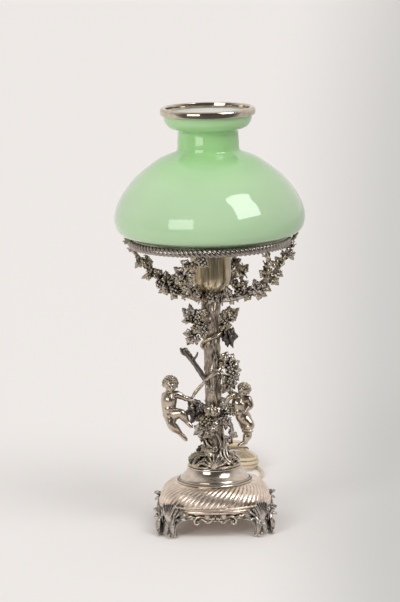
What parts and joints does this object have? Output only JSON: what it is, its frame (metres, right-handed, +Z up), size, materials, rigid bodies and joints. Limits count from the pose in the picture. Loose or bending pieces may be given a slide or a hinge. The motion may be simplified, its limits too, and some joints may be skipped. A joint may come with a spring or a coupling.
{
  "type": "table lamp",
  "caption": "Table lamp: cast vine trunk with climbing putti on a domed scroll-footed base, vine arms carrying a rope-edged ring and a green glass shade, with cord and switch.",
  "frame": {"origin": "on the table under the trunk's axis, at the middle of the lamp's footprint", "axes": "+Z up along the trunk and the clamping rod, -Y towards the pictured front, +X to the viewer's right"},
  "size_m": [0.2866, 0.6388, 0.6399],
  "materials": {
    "silver_polished": "silver-plated brass, burnished bright, slightly warm",
    "silver_oxidised": "silver-plated cast brass, rubbed bright on the high places with dark oxide left in the recesses",
    "silver_figure": "silver-plated cast brass, satin skin with dark oxide in folds",
    "cup_metal": "spun brass with a brown-gold toned plating, polished",
    "steel": "zinc-plated steel, satin",
    "holder_brass": "pressed brass, satin",
    "glass_green": "blown glass, pale green outside over a white lining, glossy, nearly opaque",
    "glass_opal": "white opal glass, smooth",
    "porcelain": "glazed white porcelain",
    "cord_cream": "cream vinyl sheath, soft sheen",
    "plastic_ivory": "moulded ivory plastic",
    "plastic_dark": "dark brown moulded plastic"
  },
  "bodies": {
    "root": {"base_dome": "silver_polished", "base_bell": "silver_polished", "apron_right": "silver_polished", "apron_back": "silver_polished", "apron_left": "silver_polished", "apron_front": "silver_polished", "foot_back_right": "silver_oxidised", "foot_back_left": "silver_oxidised", "foot_front_left": "silver_oxidised", "foot_front_right": "silver_oxidised", "rocaille_mount": "silver_oxidised", "trunk": "silver_oxidised", "trunk_vine": "silver_oxidised", "branch_stub": "silver_oxidised", "spray_upper_left": "silver_oxidised", "spray_upper_right": "silver_oxidised", "leaf_hanging": "silver_oxidised", "spray_middle_right": "silver_oxidised", "spray_low_left": "silver_oxidised", "spray_low_front": "silver_oxidised", "spray_low_right": "silver_oxidised", "spray_back": "silver_oxidised", "crown_hub": "silver_oxidised", "shade_ring": "silver_oxidised", "ring_rope": "silver_oxidised", "arm_left": "silver_oxidised", "arm_right": "silver_oxidised", "arm_front": "silver_oxidised", "arm_back": "silver_oxidised", "putto_left": "silver_figure", "putto_right": "silver_figure", "lamp_cup": "cup_metal", "clamp_rod": "steel", "rod_washer": "steel", "rod_nut_lower": "steel", "rod_nut_upper": "steel", "holder_base": "holder_brass", "holder_skirt": "holder_brass", "holder_liner": "holder_brass", "holder_contact": "holder_brass", "plug_pin_left": "holder_brass", "plug_pin_right": "holder_brass", "holder_insert": "porcelain", "inner_lead": "cord_cream", "cord_hank": "cord_cream", "cord_to_switch": "cord_cream", "cord_to_hank": "cord_cream", "cord_to_plug": "cord_cream", "cord_relief": "plastic_ivory", "switch_lower_shell": "plastic_ivory", "switch_upper_shell": "plastic_ivory", "plug_body": "plastic_ivory", "cord_tie": "plastic_dark"},
    "shade": {"shade_glass": "glass_green", "shade_rim": "silver_polished"},
    "bulb_lift": {"bulb_tip": "holder_brass"},
    "bulb": {"bulb_cap": "steel", "bulb_glass": "glass_opal"},
    "rocker": {"switch_rocker": "plastic_dark"}
  },
  "joints": [
    {"name": "shade_lift", "type": "slide", "parent": "root", "child": "shade", "axis": [0, 0, 1], "range_m": [0, 0.12]},
    {"name": "bulb_rise", "type": "slide", "parent": "root", "child": "bulb_lift", "axis": [0, 0, 1], "range_m": [0, 0.01089]},
    {"name": "bulb_turn", "type": "hinge", "parent": "bulb_lift", "child": "bulb", "pos_m": [0, 0, 0.41], "axis": [0, 0, 1], "range_deg": [0, 1080]},
    {"name": "switch_rock", "type": "hinge", "parent": "root", "child": "rocker", "pos_m": [0.008, 0.221, 0.014], "axis": [1, 0, 0], "range_deg": [0, 16]}
  ],
  "couplings": [
    {"joint": "bulb_turn", "follows": "bulb_rise", "rad_per_m": 1730.9}
  ]
}
